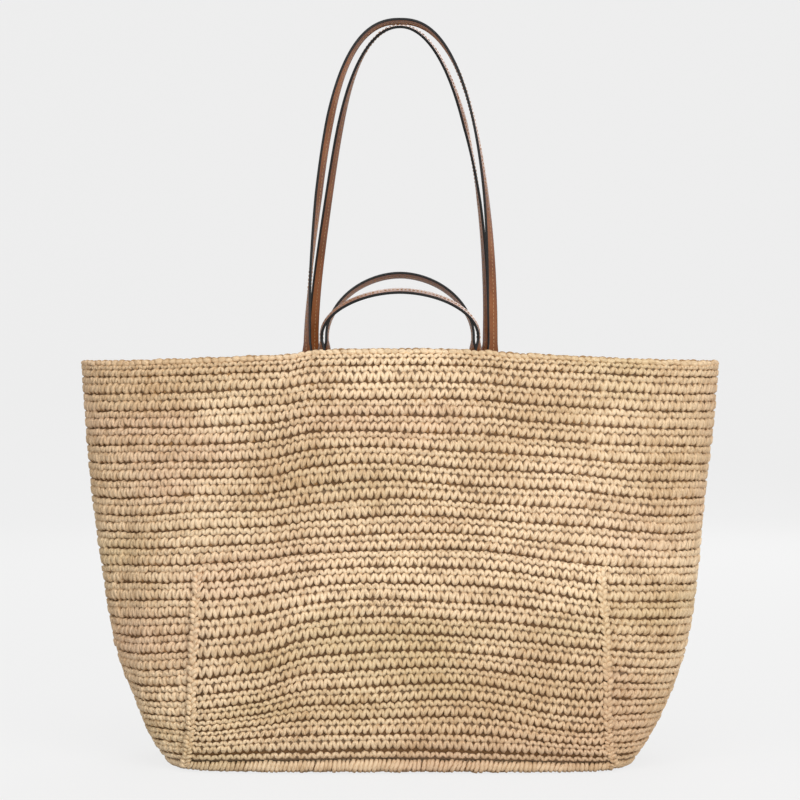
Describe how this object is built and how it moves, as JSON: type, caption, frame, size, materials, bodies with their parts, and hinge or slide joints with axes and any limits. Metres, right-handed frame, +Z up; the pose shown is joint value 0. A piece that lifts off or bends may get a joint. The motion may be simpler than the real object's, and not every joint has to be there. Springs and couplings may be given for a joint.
{
  "type": "beach bag",
  "caption": "Large crocheted raffia beach bag with a front patch pocket, long leather shoulder straps and short leather hand straps that fold down over the rim.",
  "frame": {"origin": "middle of the flat base, on the surface that the bag stands on", "axes": "+Z up, -Y towards the front with the pocket, +X to the right as seen from the front"},
  "size_m": [0.6017, 0.221, 0.6943],
  "materials": {
    "raffia": "matte crocheted raffia yarn",
    "strap_leather": "semi-gloss smooth leather with black painted edges",
    "tape": "woven reinforcement tape",
    "thread": "waxed polyester thread"
  },
  "bodies": {
    "bag": {"body_wall": "raffia", "rim_edging": "raffia", "base_seam": "raffia", "base_panel": "raffia", "pocket_panel": "raffia", "pocket_left_edging": "raffia", "pocket_right_edging": "raffia", "pocket_top_edging": "raffia", "pocket_bottom_seam": "raffia", "long_strap_front_tails": "strap_leather", "long_strap_back_tails": "strap_leather", "short_strap_front_tails": "strap_leather", "short_strap_back_tails": "strap_leather", "anchor_patch_front_left": "strap_leather", "anchor_patch_front_right": "strap_leather", "anchor_patch_back_left": "strap_leather", "anchor_patch_back_right": "strap_leather", "anchor_thread_front_left": "thread", "anchor_thread_front_right": "thread", "anchor_thread_back_left": "thread", "anchor_thread_back_right": "thread"},
    "long_strap_front": {"long_strap_front_outer_ply": "strap_leather", "long_strap_front_inner_ply": "strap_leather", "long_strap_front_tape": "tape", "long_strap_front_thread": "thread"},
    "long_strap_back": {"long_strap_back_outer_ply": "strap_leather", "long_strap_back_inner_ply": "strap_leather", "long_strap_back_tape": "tape", "long_strap_back_thread": "thread"},
    "short_strap_front": {"short_strap_front_outer_ply": "strap_leather", "short_strap_front_inner_ply": "strap_leather", "short_strap_front_tape": "tape", "short_strap_front_thread": "thread"},
    "short_strap_back": {"short_strap_back_outer_ply": "strap_leather", "short_strap_back_inner_ply": "strap_leather", "short_strap_back_tape": "tape", "short_strap_back_thread": "thread"}
  },
  "joints": [
    {"name": "long_strap_front_fold", "type": "hinge", "parent": "bag", "child": "long_strap_front", "pos_m": [0, -0.08061, 0.3945], "axis": [1, 0, 0], "range_deg": [0, 135]},
    {"name": "long_strap_back_fold", "type": "hinge", "parent": "bag", "child": "long_strap_back", "pos_m": [0, 0.08061, 0.3945], "axis": [-1, 0, 0], "range_deg": [0, 135]},
    {"name": "short_strap_front_fold", "type": "hinge", "parent": "bag", "child": "short_strap_front", "pos_m": [0, -0.08104, 0.3945], "axis": [1, 0, 0], "range_deg": [-107, 93]},
    {"name": "short_strap_back_fold", "type": "hinge", "parent": "bag", "child": "short_strap_back", "pos_m": [0, 0.08104, 0.3945], "axis": [-1, 0, 0], "range_deg": [-112, 88]}
  ]
}
